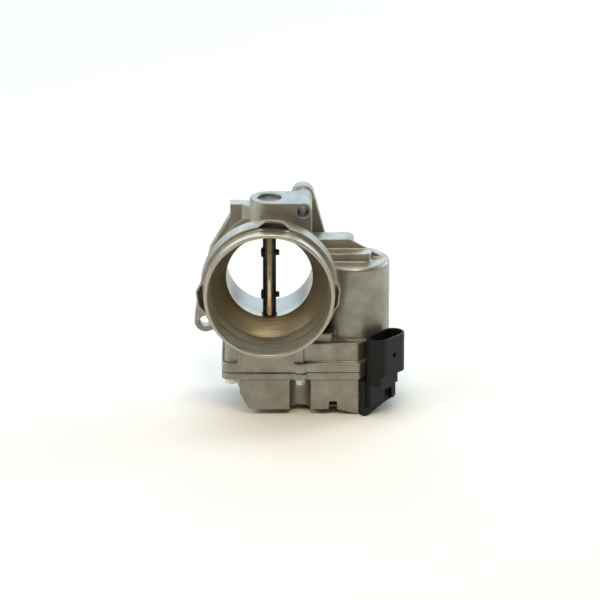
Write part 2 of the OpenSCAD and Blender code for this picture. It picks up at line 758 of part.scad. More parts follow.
module upper_bearing() {
    top = plug_top_z - plug_t - 0.3;
    color(steel) at_shaft()
        upright_tube(bearing_d / 2 - press_gap, shaft_r + running_gap, top - bearing_len, top);
}

module lower_bearing() {
    color(steel) at_shaft() upright_tube(lower_bearing_d / 2 - press_gap, shaft_r + running_gap,
        lower_bearing_z, lower_bearing_z + bearing_len);
}

module shaft_seal() {
    bottom = lower_bearing_z + bearing_len + 0.2;
    color([0.1, 0.1, 0.1]) at_shaft() rotate_extrude() polygon([
        [shaft_r + running_gap, bottom + 1], [shaft_r + 1.6, bottom],
        [lower_bearing_d / 2 - press_gap, bottom],
        [lower_bearing_d / 2 - press_gap, bottom + seal_len], [shaft_r + 1.6, bottom + seal_len],
        [shaft_r + running_gap, bottom + 2]]);
}

module wave_washer() {
    color(steel) at_motor() upright_tube(5.5, 4.2, motor_top + 0.01, motor_top + 0.25);
}

module manifold_seal() {
    inner = seal_groove_d / 2;
    color([0.1, 0.1, 0.1]) turned([[inner + press_gap, 0.1], [inner + seal_w - press_gap, 0.1],
        [inner + seal_w - press_gap, 2.15], [inner + press_gap, 2.15]]);
}

// Torsion spring, swept along its helix
module return_spring() {
    sides = 8;
    steps = 16;
    rings = spring_coils * steps;
    rise = (spring_top - spring_bottom) / rings;
    points = [for (i = [0:rings]) for (j = [0:sides - 1])
        let (a = i * 360 / steps, b = j * 360 / sides, r = spring_r + spring_wire / 2 * cos(b))
        [r * cos(a), r * sin(a), spring_bottom + i * rise + spring_wire / 2 * sin(b)]];
    sides_faces = [for (i = [0:rings - 1]) for (j = [0:sides - 1])
        let (k = i * sides, n = (j + 1) % sides) [k + j, k + n, k + sides + n, k + sides + j]];
    caps = [[for (j = [sides - 1:-1:0]) j], [for (j = [0:sides - 1]) rings * sides + j]];
    color(steel) at_shaft() polyhedron(points, concat(sides_faces, caps));
}

module idler_pin() {
    color(steel) at_idler()
        upright(idler_pin_d / 2 - press_gap, cover_floor + case_wall - 0.9, joint_z + 6.9);
}

module motor_can() {
    color(steel) at_motor() difference() {
        upright(motor_r, motor_bottom, motor_top);
        upright(motor_r - can_t, motor_bottom - 1, motor_top - can_t);
        upright(motor_bearing_r, motor_bottom, motor_top + 0.01);
    }
}

module motor_magnets() {
    outer = motor_r - can_t - press_gap;
    color([0.25, 0.25, 0.27]) at_motor() for (side = [0, 180]) translate([0, 0, core_top - core_len - 2])
        rotate_extrude(angle = 130, start = side - 65) translate([core_r + 0.5, 0])
            square([outer - core_r - 0.5, core_len + 4]);
}

module motor_ears(r, bottom, top) {
    for (turn = [motor_screw_turn, motor_screw_turn + 180]) at_motor() rotate(turn)
        translate([motor_screw_reach, 0, 0]) upright(r, bottom, top);
}

module motor_end_cap() {
    top = motor_bottom - 0.1;
    color([0.2, 0.2, 0.22]) difference() {
        union() {
            at_motor() upright(end_cap_r, top - end_cap_t, top);
            motor_ears(motor_ear_r - 0.1, top - end_cap_t, top);
            for (side = [-9, 9]) at_motor() translate([side - 4, -4, top])
                cube([8, 8, comm_top - top - 0.4]);
        }
        at_motor() upright(motor_bearing_r, top - end_cap_t - 1, top + 1);
        motor_ears(1.7, top - end_cap_t - 1, top + 1);
        for (side = [-1, 1]) at_motor() translate([side * 9 - 5, -2.02, comm_top - comm_len + 1])
            cube([10, 4.04, 4.02]);
    }
}

module motor_brushes() {
    color([0.15, 0.15, 0.15]) for (side = [-1, 1]) at_motor() difference() {
        translate([side * 8.5 - 4, -2, comm_top - comm_len + 1.01]) cube([8, 4, 4]);
        upright(comm_r + 0.06, comm_top - comm_len - 1, comm_top + 1);
    }
}

module motor_bearings() {
    color([0.75, 0.6, 0.35]) at_motor() {
        upright_tube(motor_bearing_r - press_gap, motor_shaft_r + running_gap, motor_top - 3.5, motor_top);
        upright_tube(motor_bearing_r - press_gap, motor_shaft_r + running_gap,
            motor_bottom - end_cap_t - 0.1, motor_bottom - 0.1);
    }
}

module motor_screws() {
    bottom = motor_bottom - end_cap_t - 0.1;
    color(steel) {
        motor_ears(1.5 - press_gap, bottom, motor_bottom + 6.5);
        difference() {
            motor_ears(2.8, bottom - 2, bottom);
            motor_ears(1, bottom - 3, bottom - 1);
        }
    }
}

module sensor_board() {
    color([0.1, 0.35, 0.2]) at_shaft() translate([-8, -9, board_z]) cube([13, 18, board_t]);
}

module sensor_chip() {
    color([0.12, 0.12, 0.12]) at_shaft() translate([-2.5, -2, board_z + board_t]) cube([5, 4, chip_t]);
}

// Slotted shaft with seats for the two screws
module throttle_shaft() {
    slot = plate_t / 2 + press_gap;
    color(steel) at_shaft() difference() {
        upright(shaft_r, hub_bottom, plug_top_z - plug_t - 0.8);
        translate([-slot, -shaft_d, -bore_r + plate_gap - 0.05])
            cube([2 * slot, 2 * shaft_d, 2 * (bore_r - plate_gap + 0.05)]);
        for (side = [-1, 1]) translate([0, 0, side * plate_screw_z]) rotate([0, 90, 0]) {
            cylinder(r = plate_screw_d / 2, h = shaft_d * 2, center = true);
            translate([0, 0, -shaft_r - 2]) cylinder(r = plate_screw_head_d / 2 + 0.1, h = 2.6);
        }
    }
}

module throttle_plate() {
    color([0.75, 0.68, 0.5]) at_shaft() rotate([0, 90, 0]) difference() {
        cylinder(r = bore_r - plate_gap, h = plate_t, center = true, $fn = 128);
        for (side = [-1, 1]) translate([side * plate_screw_z, 0, 0])
            cylinder(r = plate_screw_d / 2, h = plate_t * 2, center = true);
    }
}

module plate_screws() {
    color(steel) at_shaft() for (side = [-1, 1]) translate([0, 0, side * plate_screw_z]) rotate([0, 90, 0]) {
        translate([0, 0, -shaft_r]) cylinder(r = plate_screw_d / 2 - press_gap, h = shaft_d + 1.9);
        difference() {
            translate([0, 0, -shaft_r - 1.2]) cylinder(r = plate_screw_head_d / 2, h = 1.79);
            translate([0, 0, -shaft_r - 1.7]) cylinder(r = 1.1, h = 1.3, $fn = 6);
        }
    }
}

// Toothed sector on a hub, with the stop lug; teeth stand ready for the idler at rest
module sector_gear() {
    step = 360 / sector_teeth;
    before = ceil((closing_turn + sector_margin) / step);
    first = -before * step;
    count = before + 2;
    color([0.85, 0.82, 0.7]) at_shaft() difference() {
        union() {
            translate([0, 0, sector_z - sector_t / 2 + 0.05]) linear_extrude(sector_t - 0.1)
                polygon(concat([[0, 0]], gear_points(sector_teeth, first, count)));
            upright(hub_r, sector_z - sector_t / 2, hub_top);
            upright(magnet_r + 0.5, hub_bottom, sector_z);
            rotate(lug_angle) translate([hub_r - 2, -lug_w / 2, hub_top - lug_t])
                cube([lug_r - hub_r + 2, lug_w, lug_t]);
        }
        upright(shaft_r + press_gap, hub_bottom - 1, hub_top + 1);
    }
}

module sensor_magnet() {
    color([0.3, 0.3, 0.32]) at_shaft() upright(magnet_r, hub_bottom - magnet_t, hub_bottom);
}

module idler_gear() {
    small_step = 360 / idler_small_teeth;
    big_step = 360 / idler_big_teeth;
    small_turn = 180 + small_step / 2;
    color([0.85, 0.82, 0.7]) at_idler() difference() {
        union() {
            translate([0, 0, big_z]) linear_extrude(sector_z + sector_t / 2 + 0.6 - big_z)
                polygon(gear_points(idler_small_teeth, small_turn, idler_small_teeth));
            translate([0, 0, big_z - big_t / 2]) linear_extrude(big_t)
                polygon(gear_points(idler_big_teeth, 0, idler_big_teeth));
            upright(4.6, idler_bottom, joint_z - 3 - loose_gap);
        }
        upright(idler_pin_d / 2 + running_gap, cover_floor, joint_z);
        translate([0, 0, big_z - big_t / 2 - 0.01]) difference() {
            cylinder(r = gear_module * (idler_big_teeth / 2 - 3.5), h = 1);
            translate([0, 0, -1]) cylinder(r = 6, h = 4);
        }
    }
}

module pinion() {
    step = 360 / pinion_teeth;
    color([0.75, 0.6, 0.35]) at_motor() difference() {
        translate([0, 0, pinion_top - pinion_len]) linear_extrude(pinion_len)
            polygon(gear_points(pinion_teeth, 180 + step / 2, pinion_teeth));
        upright(motor_shaft_r + press_gap, pinion_top - pinion_len - 1, pinion_top + 1);
    }
}

module motor_shaft() {
    color(steel) at_motor() upright(motor_shaft_r, pinion_top - pinion_len - 0.4, motor_top - 0.4);
}

module armature_slots(r) {
    for (i = [0:4]) rotate(i * 72 + 36) {
        translate([6.5, -0.8]) square([r, 1.6]);
        translate([(6 + r - 1.6) / 2, 0]) circle(r = 2.6);
    }
}

module armature_core() {
    color([0.45, 0.42, 0.4]) at_motor() translate([0, 0, core_top - core_len]) linear_extrude(core_len)
        difference() {
            circle(r = core_r);
            armature_slots(core_r);
            circle(r = motor_shaft_r + press_gap);
        }
}

module armature_windings() {
    wound_r = core_r - 2;
    color([0.72, 0.4, 0.2]) at_motor() {
        translate([0, 0, core_top - core_len]) linear_extrude(core_len) intersection() {
            armature_slots(core_r);
            circle(r = wound_r);
        }
        upright_tube(wound_r, motor_shaft_r + press_gap, core_top, core_top + 5);
        upright_tube(wound_r, motor_shaft_r + press_gap, core_top - core_len - 5, core_top - core_len);
    }
}

module commutator() {
    color([0.75, 0.5, 0.3]) at_motor() translate([0, 0, comm_top - comm_len]) linear_extrude(comm_len)
        difference() {
            circle(r = comm_r);
            circle(r = motor_shaft_r + press_gap);
            for (i = [0:4]) rotate(i * 72) translate([comm_r - 0.8, -0.15]) square([1, 0.3]);
        }
}

main_housing();
gear_cover();
cover_gasket();
cover_screws();
connector_shell();
connector_pins();
lead_carrier();
shaft_plug();
upper_bearing();
lower_bearing();
shaft_seal();
wave_washer();
manifold_seal();
return_spring();
idler_pin();
motor_can();
motor_magnets();
motor_end_cap();
motor_brushes();
motor_bearings();
motor_screws();
sensor_board();
sensor_chip();
throttle_shaft();
throttle_plate();
plate_screws();
sector_gear();
sensor_magnet();
idler_gear();
pinion();
motor_shaft();
armature_core();
armature_windings();
commutator();
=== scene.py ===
import math
import bmesh
import bpy
from mathutils import Matrix, Vector


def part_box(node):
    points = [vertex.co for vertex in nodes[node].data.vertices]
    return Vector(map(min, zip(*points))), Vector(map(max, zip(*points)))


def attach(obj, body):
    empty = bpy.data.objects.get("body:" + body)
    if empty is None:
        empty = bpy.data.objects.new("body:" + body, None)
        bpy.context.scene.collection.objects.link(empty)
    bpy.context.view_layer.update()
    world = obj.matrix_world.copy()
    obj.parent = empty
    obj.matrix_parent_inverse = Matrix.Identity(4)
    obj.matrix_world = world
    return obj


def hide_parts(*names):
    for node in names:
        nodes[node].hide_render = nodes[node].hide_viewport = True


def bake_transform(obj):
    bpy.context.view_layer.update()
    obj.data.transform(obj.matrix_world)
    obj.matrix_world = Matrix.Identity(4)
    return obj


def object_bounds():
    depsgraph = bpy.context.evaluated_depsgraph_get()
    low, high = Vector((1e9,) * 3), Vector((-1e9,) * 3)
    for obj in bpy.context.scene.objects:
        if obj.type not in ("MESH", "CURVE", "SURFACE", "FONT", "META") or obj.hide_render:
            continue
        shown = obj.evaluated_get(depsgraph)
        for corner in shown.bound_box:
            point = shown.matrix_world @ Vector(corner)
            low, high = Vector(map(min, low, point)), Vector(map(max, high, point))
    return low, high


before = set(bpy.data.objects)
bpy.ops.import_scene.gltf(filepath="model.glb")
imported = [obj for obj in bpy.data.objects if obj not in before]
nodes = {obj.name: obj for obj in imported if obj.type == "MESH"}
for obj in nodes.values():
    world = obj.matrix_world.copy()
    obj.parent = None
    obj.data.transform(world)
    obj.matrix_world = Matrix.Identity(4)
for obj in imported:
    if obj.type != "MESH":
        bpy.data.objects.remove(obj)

cad_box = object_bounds()
scene = bpy.context.scene


# ---- Main housing -------------------------------------------------------------------------
# One aluminium high-pressure casting: inlet collar, throat, bearing block, motor barrel and the
# upper half of the gear case. It is grit blasted, and the bore, the lip and the seats are turned.
def soft_casting(node, grain, triangles, rounds):
    """A copy of a CAD node with the small radii that a die casting has on every edge."""
    same_place, share_per_round = 1e-6, 0.5
    copy = bpy.data.objects.new(node + ".copy", nodes[node].data.copy())
    scene.collection.objects.link(copy)
    weld = copy.modifiers.new("weld", "WELD")
    weld.merge_threshold = same_place
    remesh = copy.modifiers.new("remesh", "REMESH")
    remesh.mode = "VOXEL"
    remesh.voxel_size = grain
    relax = copy.modifiers.new("relax", "SMOOTH")
    relax.factor = share_per_round
    relax.iterations = rounds
    mesh = evaluated_mesh(copy)
    fine = bpy.data.objects.new(node + ".fine", mesh)
    scene.collection.objects.link(fine)
    thin = fine.modifiers.new("thin", "DECIMATE")
    thin.ratio = triangles / (2 * len(mesh.polygons))  # the remeshed faces have four corners
    piece = new_piece(node + ".cast", evaluated_mesh(fine))
    for spent in (copy, fine):
        bpy.data.objects.remove(spent)
    # the smoothed skin stays inside the node's own box
    least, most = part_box(node)
    for vert in piece.data.vertices:
        vert.co = [min(max(value, low), high) for value, low, high in zip(vert.co, least, most)]
    return piece


def evaluated_mesh(obj):
    graph = bpy.context.evaluated_depsgraph_get()
    return bpy.data.meshes.new_from_object(obj.evaluated_get(graph))


def new_piece(name, mesh):
    mesh.name = name
    piece = bpy.data.objects.new(name, mesh)
    scene.collection.objects.link(piece)
    mesh.shade_smooth()
    return piece


def dress(piece, material):
    piece.data.materials.clear()
    piece.data.materials.append(material)
    return piece


class Shading:
    """Builds one material's nodes; every call returns an output socket."""

    def __init__(self, name):
        self.material = bpy.data.materials.new(name)
        self.material.use_nodes = True
        self.tree = self.material.node_tree
        self.shader = self.tree.nodes["Principled BSDF"]
        self.place = self.node("ShaderNodeTexCoord").outputs["Object"]

    def node(self, kind, values=None, **settings):
        made = self.tree.nodes.new(kind)
        for key, value in settings.items():
            setattr(made, key, value)
        for key, value in (values or {}).items():
            if isinstance(value, bpy.types.NodeSocket):
                self.tree.links.new(value, made.inputs[key])
            else:
                made.inputs[key].default_value = value
        return made

    def noise(self, scale, detail=3.0, roughness=0.6, place=None):
        made = self.node("ShaderNodeTexNoise", {"Vector": place or self.place, "Scale": scale,
                                                "Detail": detail, "Roughness": roughness})
        return made.outputs["Fac"]

    def math(self, operation, a, b=0.0):
        return self.node("ShaderNodeMath", {0: a, 1: b}, operation=operation).outputs[0]

    def ramp(self, value, low, high, to_low=0.0, to_high=1.0):
        made = self.node("ShaderNodeMapRange", {"Value": value, "From Min": low, "From Max": high,
                                                "To Min": to_low, "To Max": to_high})
        return made.outputs["Result"]

    def mix(self, share, a, b):
        made = self.node("ShaderNodeMix", {"Factor": share}, data_type="RGBA")
        for socket, value in ((made.inputs[6], a), (made.inputs[7], b)):
            if isinstance(value, bpy.types.NodeSocket):
                self.tree.links.new(value, socket)
            else:
                socket.default_value = (*value, 1.0)
        return made.outputs[2]

    def parts(self):
        return self.node("ShaderNodeSeparateXYZ", {"Vector": self.place}).outputs

    def finish(self, colour=None, roughness=None, height=None, bump=0.0002, **constants):
        for key, value in constants.items():
            name = key.replace("_", " ").title().replace("Ior", "IOR")
            self.shader.inputs[name].default_value = value
        for name, value in (("Base Color", colour), ("Roughness", roughness)):
            if isinstance(value, bpy.types.NodeSocket):
                self.tree.links.new(value, self.shader.inputs[name])
            elif value is not None:
                wide = (*value, 1.0) if name == "Base Color" else value
                self.shader.inputs[name].default_value = wide
        if height is not None:
            made = self.node("ShaderNodeBump", {"Height": height, "Distance": bump, "Strength": 1.0})
            self.tree.links.new(made.outputs["Normal"], self.shader.inputs["Normal"])
        return self.material


# where the turned passage changes, along Y, and its radius there
CONE_START, CONE_END, SOCKET_FULL = -0.0313, -0.0420, -0.0515
THROAT_R, CONE_R, SOCKET_GAIN = 0.0252, 0.0342, 0.0016
# the lip's edge and its band along Y, the manifold face, the block's milled top and where the painted
# shade in the far throat starts
LIP_R, LIP_FADE_R = 0.0378, 0.0384
LIP_START, LIP_FULL = -0.0568, -0.0574
FACE_START, FACE_FULL = -0.0004, -0.0002
MILLED_START, MILLED_FULL = 0.0460, 0.0463
THROAT_SHADE_START, THROAT_SHADE_FULL = -0.030, -0.022


def cast_aluminium(name, turned):
    """Blasted cast aluminium: fine grit, soft mottling and darker skin; turned rings on request."""
    s = Shading(name)
    grit = s.noise(2600, 2)
    cloud = s.noise(45, 4)
    patch = s.noise(160, 3)
    colour = s.mix(s.ramp(cloud, 0.3, 0.7), (0.28, 0.268, 0.228), (0.38, 0.369, 0.322))
    colour = s.mix(s.ramp(patch, 0.35, 0.75, 0, 0.5), colour, (0.23, 0.208, 0.165))
    rough = s.ramp(patch, 0.3, 0.7, 0.36, 0.52)
    height = s.math("ADD", s.math("MULTIPLY", grit, 0.05), s.math("MULTIPLY", patch, 0.12))
    # rubbed edges are painted brighter, partly as edge wear and partly as a painted highlight, and
    # corners are painted darker as painted shade
    bend = s.node("ShaderNodeNewGeometry").outputs["Pointiness"]
    colour = s.mix(s.ramp(bend, 0.52, 0.60, 0, 0.7), colour, (0.60, 0.575, 0.50))
    # painted shade: concave corners are painted dark brown
    colour = s.mix(s.ramp(bend, 0.49, 0.42, 0, 0.6), colour, (0.13, 0.115, 0.09))
    if turned:
        x, y, z = s.parts()
        # the block's top is milled, and the throat behind the plate is painted darker as painted shade
        milled = s.ramp(z, MILLED_START, MILLED_FULL)
        swirl = s.noise(500, 2, 0.5)
        colour = s.mix(milled, colour, s.mix(swirl, (0.23, 0.237, 0.225), (0.32, 0.327, 0.31)))
        across = s.math("SQRT", s.math("ADD", s.math("MULTIPLY", x, x), s.math("MULTIPLY", z, z)))
        # the passage, the lip's band and face, and the manifold face are turned bright
        wall = s.math("ADD", s.ramp(y, CONE_START, CONE_END, THROAT_R, CONE_R),
                      s.ramp(y, CONE_END, SOCKET_FULL, 0, SOCKET_GAIN))
        inside = s.ramp(s.math("SUBTRACT", wall, across), -0.0002, 0.0)
        lip = s.math("MULTIPLY", s.ramp(across, LIP_R, LIP_FADE_R, 1, 0),
                     s.ramp(y, LIP_START, LIP_FULL))
        face = s.ramp(y, FACE_START, FACE_FULL)
        bright = s.math("MAXIMUM", s.math("MAXIMUM", inside, lip), face)
        along = s.node("ShaderNodeCombineXYZ", {"X": s.math("MULTIPLY", y, 3200),
                                                "Y": s.math("MULTIPLY", across, 2600)}).outputs[0]
        rings = s.noise(1.0, 3, 0.7, along)
        broad = s.noise(0.12, 2, 0.5, along)
        ring_tone = s.mix(s.ramp(rings, 0.3, 0.7), (0.33, 0.298, 0.238), (0.51, 0.47, 0.39))
        ring_tone = s.mix(s.ramp(broad, 0.4, 0.7, 0, 0.6), ring_tone, (0.42, 0.36, 0.26))
        # painted shade: the turned throat behind the plate is painted dark grey
        throat_shade = s.ramp(y, THROAT_SHADE_START, THROAT_SHADE_FULL, 0, 0.75)
        ring_tone = s.mix(throat_shade, ring_tone, (0.17, 0.175, 0.17))
        colour = s.mix(bright, colour, ring_tone)
        rough = s.node("ShaderNodeMix", {"Factor": bright, 2: rough,
                                         3: s.ramp(rings, 0.3, 0.7, 0.24, 0.36)}).outputs[0]
        height = s.node("ShaderNodeMix", {"Factor": bright, 2: height,
                                          3: s.math("MULTIPLY", rings, 0.06)}).outputs[0]
    return s.finish(colour, rough, height, 0.0008, metallic=0.85, specular_ior_level=0.5)


housing = soft_casting("main_housing", grain=0.0004, triangles=190000, rounds=5)
dress(housing, cast_aluminium("cast aluminium, turned bore", True))
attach(housing, "housing")
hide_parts("main_housing")


# ---- Gear cover ---------------------------------------------------------------------------
# The lower half of the gear case, cast in the same alloy. It is screwed up against the gasket, and
# scooped channels in its sides leave room for the screwdriver.
cover = soft_casting("gear_cover", grain=0.0004, triangles=110000, rounds=5)
dress(cover, cast_aluminium("cast aluminium cover", False))
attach(cover, "housing")
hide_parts("gear_cover")


# ---- Gasket and seals ---------------------------------------------------------------------
# Pressed from rubber: the sheet between the halves of the case, the ring in the manifold flange and
# the lip seal on the shaft.
def rubber():
    s = Shading("rubber")
    speck = s.noise(900, 3)
    colour = s.mix(s.ramp(speck, 0.35, 0.7), (0.016, 0.016, 0.017), (0.035, 0.034, 0.033))
    return s.finish(colour, s.ramp(speck, 0.3, 0.7, 0.5, 0.72), speck, 0.00005)


def ringed_mesh(name, rings, steps=72, closed=False):
    """A skin over rings stacked along Z. A ring is (radius, height); the radius may follow the angle."""
    at_centre = 1e-7
    mesh = bpy.data.meshes.new(name)
    work = bmesh.new()
    rows = []
    for radius, height in rings:
        if not callable(radius) and radius < at_centre:
            rows.append([work.verts.new((0, 0, height))] * steps)
            continue
        row = []
        for k in range(steps):
            angle = 2 * math.pi * k / steps
            r = radius(angle) if callable(radius) else radius
            row.append(work.verts.new((r * math.cos(angle), r * math.sin(angle), height)))
        rows.append(row)
    if closed:
        rows.append(rows[0])
    for low, high in zip(rows, rows[1:]):
        for k in range(steps):
            corners = []
            for vert in (low[k], low[(k + 1) % steps], high[(k + 1) % steps], high[k]):
                if vert not in corners:
                    corners.append(vert)
            if len(corners) > 2:
                work.faces.new(corners)
    bmesh.ops.recalc_face_normals(work, faces=work.faces)
    work.to_mesh(mesh)
    work.free()
    return mesh


def sharpen(piece, degrees=35):
    """Keeps the edges of a turned or pressed piece crisp and the rest smooth."""
    piece.data.shade_smooth()
    piece.data.set_sharp_from_angle(angle=math.radians(degrees))
    return piece


rubber_material = rubber()
seal_low, seal_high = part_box("manifold_seal")
seal_outer = seal_high.x
seal_width = 0.00258
seal_inner = seal_outer - seal_width
seal_round = 0.0005
steps_per_corner = 4
section = []
for corner_r, corner_y, start in ((seal_outer, seal_high.y, 0), (seal_inner, seal_high.y, 90),
                                  (seal_inner, seal_low.y, 180), (seal_outer, seal_low.y, 270)):
    sign_r = -1 if corner_r == seal_outer else 1
    sign_y = -1 if corner_y == seal_high.y else 1
    for step in range(steps_per_corner + 1):
        turn = math.radians(start + step * 90 / steps_per_corner)
        section.append((corner_r + sign_r * seal_round + seal_round * math.cos(turn),
                        corner_y + sign_y * seal_round + seal_round * math.sin(turn)))
seal_mesh = ringed_mesh("manifold_seal.ring", [(r, -y) for r, y in section], 128, closed=True)
seal_mesh.transform(Matrix.Rotation(math.radians(90), 4, "X"))
seal = dress(sharpen(new_piece("manifold_seal.ring", seal_mesh), 60), rubber_material)
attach(seal, "housing")
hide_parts("manifold_seal")
for name in ("cover_gasket", "shaft_seal"):
    dress(nodes[name], rubber_material)


# ---- Cover screws -------------------------------------------------------------------------
# Four zinc-plated flange screws hold the cover up against the housing. They are cold headed, with a
# chamfered hexagon and a socket, and each stands at the turn it was tightened to.
def plated(name, dark, light, rough, scale=500):
    """Bright metal with fine marks and a slightly cloudy skin."""
    s = Shading(name)
    cloud = s.noise(scale, 4)
    fine = s.noise(scale * 8, 2)
    colour = s.mix(s.ramp(cloud, 0.3, 0.7), dark, light)
    tone = s.math("ADD", s.ramp(cloud, 0.3, 0.7, rough, rough + 0.14), s.math("MULTIPLY", fine, 0.06))
    height = s.math("ADD", s.math("MULTIPLY", fine, 0.6), s.math("MULTIPLY", cloud, 0.4))
    return s.finish(colour, tone, height, 0.00003, metallic=1.0)


def hexagon(flat, cap=1.0):
    return lambda angle: min(flat / math.cos((angle % math.radians(60)) - math.radians(30)), cap)


def copies(name, source, places, material, spread=0.0, seed=1):
    """Puts a copy of the source on every place with Geometry Nodes, and returns one plain mesh."""
    points = bpy.data.meshes.new(name + ".places")
    points.from_pydata(places, [], [])
    holder = bpy.data.objects.new(name + ".places", points)
    scene.collection.objects.link(holder)
    tree = bpy.data.node_groups.new(name + " layout", "GeometryNodeTree")
    face = tree.interface
    face.new_socket("Places", in_out="INPUT", socket_type="NodeSocketGeometry")
    ids = {}
    for label, kind in (("Piece", "NodeSocketObject"), ("Finish", "NodeSocketMaterial"),
                        ("Largest turn", "NodeSocketFloat"), ("Size", "NodeSocketFloat")):
        ids[label] = face.new_socket(label, in_out="INPUT", socket_type=kind).identifier
    face.new_socket("Geometry", in_out="OUTPUT", socket_type="NodeSocketGeometry")
    make, link = tree.nodes.new, tree.links.new
    given, result = make("NodeGroupInput"), make("NodeGroupOutput")
    pattern = make("GeometryNodeObjectInfo")
    turn = make("FunctionNodeRandomValue")
    turn.inputs["Seed"].default_value = seed
    upright = make("ShaderNodeCombineXYZ")
    put = make("GeometryNodeInstanceOnPoints")
    real = make("GeometryNodeRealizeInstances")
    paint = make("GeometryNodeSetMaterial")
    link(given.outputs["Piece"], pattern.inputs["Object"])
    link(given.outputs["Largest turn"], turn.inputs[3])
    link(turn.outputs[1], upright.inputs["Z"])
    link(given.outputs["Places"], put.inputs["Points"])
    link(pattern.outputs["Geometry"], put.inputs["Instance"])
    link(upright.outputs[0], put.inputs["Rotation"])
    link(given.outputs["Size"], put.inputs["Scale"])
    link(put.outputs["Instances"], real.inputs[0])
    link(real.outputs[0], paint.inputs["Geometry"])
    link(given.outputs["Finish"], paint.inputs["Material"])
    link(paint.outputs[0], result.inputs[0])
    layout = holder.modifiers.new("layout", "NODES")
    layout.node_group = tree
    for label, value in (("Piece", source), ("Finish", material), ("Largest turn", spread),
                         ("Size", 1.0)):
        layout[ids[label]] = value
    piece = new_piece(name, evaluated_mesh(holder))
    bpy.data.objects.remove(holder)
    bpy.data.objects.remove(source)
    return dress(sharpen(piece), material)


screws_low, screws_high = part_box("cover_screws")
end_z, head_z = screws_high.z, screws_low.z
head_top = head_z + 0.0033
THREAD_R, THREAD_END_R, FLANGE_R = 0.00249, 0.0020, 0.0038
head_hexagon, worn_hexagon = hexagon(0.00294, 0.0034), hexagon(0.00290, 0.0030)
key_socket = hexagon(0.00147)
screw_rings = [
    # shank, from its end down to the head
    (0, end_z), (THREAD_END_R, end_z), (THREAD_R, end_z - 0.0006), (THREAD_R, head_top),
    # flange with a rounded rim
    (0.0037, head_top), (FLANGE_R, head_top - 0.0001), (FLANGE_R, head_top - 0.0008),
    (0.0035, head_top - 0.00105),
    # hexagon, its chamfer and the key's socket
    (head_hexagon, head_top - 0.0011), (head_hexagon, head_z + 0.0004), (worn_hexagon, head_z),
    (0.0021, head_z), (0.0019, head_z + 0.0001), (key_socket, head_z + 0.00035),
    (key_socket, head_z + 0.0019), (0, head_z + 0.0021)]
SCREW_PLACES = [(-0.0224, -0.04825, 0), (0.0178, -0.05025, 0),
                (-0.0224, -0.0062, 0), (0.0726, -0.0132, 0)]
screw_source = new_piece("cover_screw.one", ringed_mesh("cover_screw.one", screw_rings))
zinc = plated("zinc plating", (0.50, 0.55, 0.47), (0.72, 0.78, 0.68), 0.26)
screws = copies("cover_screws.set", screw_source, SCREW_PLACES, zinc, spread=math.tau, seed=4)
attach(screws, "housing")
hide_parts("cover_screws")


# ---- Plug socket and lead carrier ---------------------------------------------------------
# Glass-filled nylon moulding that clips over the cover's diagonal side and carries the contacts.
# Its mouth opens upwards for the harness plug. The lead carrier's latch shows in the cover's slot.
def black_nylon(name, shine):
    s = Shading(name)
    fleck = s.noise(1500, 3)
    flow = s.noise(90, 3)
    colour = s.mix(s.ramp(flow, 0.3, 0.7), (0.004, 0.004, 0.0042), (0.008, 0.008, 0.0085))
    colour = s.mix(s.ramp(fleck, 0.62, 0.8, 0, 0.4), colour, (0.03, 0.03, 0.031))
    rough = s.ramp(flow, 0.3, 0.7, 0.42, 0.56)
    return s.finish(colour, rough, fleck, 0.00006, specular_ior_level=shine)


nylon = black_nylon("black nylon", 0.25)
socket = soft_casting("connector_shell", grain=0.0003, triangles=70000, rounds=3)
dress(socket, nylon)
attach(socket, "housing")
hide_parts("connector_shell")
dress(nodes["lead_carrier"], black_nylon("dull black nylon", 0.06))
dress(nodes["motor_end_cap"], nylon)


# ---- Contact pins -------------------------------------------------------------------------
# Five flat pins stamped from brass strip and tin plated. They stand in the socket with tapered tips,
# and the inner three have a leg that turns inwards to the lead carrier.
PIN_PITCH = 0.0038
PIN_COUNT = 5
PLUG_TURN = math.radians(48)
PLUG_PLACE = (0.0673, -0.0465)
pins_low, pins_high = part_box("connector_pins")
PIN_W, PIN_T = 0.0015, 0.0006
TAPER, TIP, TIP_W, TIP_T = 0.0014, 0.0002, 0.0003, 0.00016
LEG_START, LEG_END = 0.0001, 0.0154


def add_bar(work, sections):
    """Skins a bar over its four-cornered sections and closes both ends."""
    rows = [[work.verts.new(corner) for corner in corners] for corners in sections]
    for low, high in zip(rows, rows[1:]):
        for k in range(4):
            work.faces.new((low[k], low[(k + 1) % 4], high[(k + 1) % 4], high[k]))
    work.faces.new(rows[0])
    work.faces.new(rows[-1])


def flat_section(width, thickness, z):
    return [(x * width / 2, y * thickness / 2, z) for x, y in ((-1, -1), (1, -1), (1, 1), (-1, 1))]


pin_mesh = bpy.data.meshes.new("pin.one")
work = bmesh.new()
add_bar(work, [flat_section(PIN_W, PIN_T, pins_low.z),
               flat_section(PIN_W, PIN_T, pins_high.z - TAPER),
               flat_section(PIN_W - 2 * TIP_W, PIN_T * 0.7, pins_high.z - TIP),
               flat_section(PIN_W - 3 * TIP_W, TIP_T, pins_high.z)])
bmesh.ops.recalc_face_normals(work, faces=work.faces)
bmesh.ops.rotate(work, verts=work.verts, matrix=Matrix.Rotation(PLUG_TURN, 3, "Z"))
work.to_mesh(pin_mesh)
work.free()
tin = plated("tin plating", (0.62, 0.58, 0.48), (0.80, 0.77, 0.68), 0.2)
turned_plug = Matrix.Translation((*PLUG_PLACE, 0)) @ Matrix.Rotation(PLUG_TURN, 4, "Z")
steps_along = [(k - (PIN_COUNT - 1) / 2) * PIN_PITCH for k in range(PIN_COUNT)]
pins = copies("connector_pins.set", new_piece("pin.one", pin_mesh),
              [turned_plug @ Vector((along, 0, 0)) for along in steps_along], tin)
